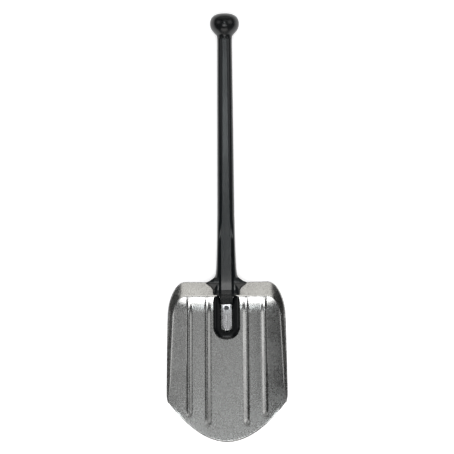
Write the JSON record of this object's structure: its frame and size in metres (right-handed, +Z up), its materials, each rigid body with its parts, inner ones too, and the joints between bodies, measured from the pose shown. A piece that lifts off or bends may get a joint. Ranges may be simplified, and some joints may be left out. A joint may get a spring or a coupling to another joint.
{
  "type": "camp shovel",
  "caption": "Short fixed camp shovel with a ribbed aluminium scoop blade, a black fibre-filled handle and a ball knob, lying on its back.",
  "frame": {"origin": "on the ground, under the middle of the shovel's length and width as it lies on its back", "axes": "+Y from the blade's tip to the knob, +Z up and out of the blade's hollow, +X to the shovel's right as seen from above with the knob away"},
  "size_m": [0.2254, 0.8, 0.0744],
  "materials": {
    "rolled_aluminium": "satin, fine rolled grain",
    "glass_fibre_nylon": "satin moulded black",
    "knob_nylon": "satin moulded black",
    "socket_nylon": "satin moulded black",
    "back_plate_nylon": "matte moulded black",
    "tube_aluminium": "drawn tube, flattened end",
    "zinc_plated_steel": "bright zinc"
  },
  "bodies": {
    "root": {"blade": "rolled_aluminium", "handle": "glass_fibre_nylon", "ball_knob": "knob_nylon", "socket_ring": "socket_nylon", "back_plate": "back_plate_nylon", "core_tube": "tube_aluminium", "tang_rivet": "zinc_plated_steel", "screw_left": "zinc_plated_steel", "screw_right": "zinc_plated_steel", "screw_toe": "zinc_plated_steel"}
  },
  "joints": []
}
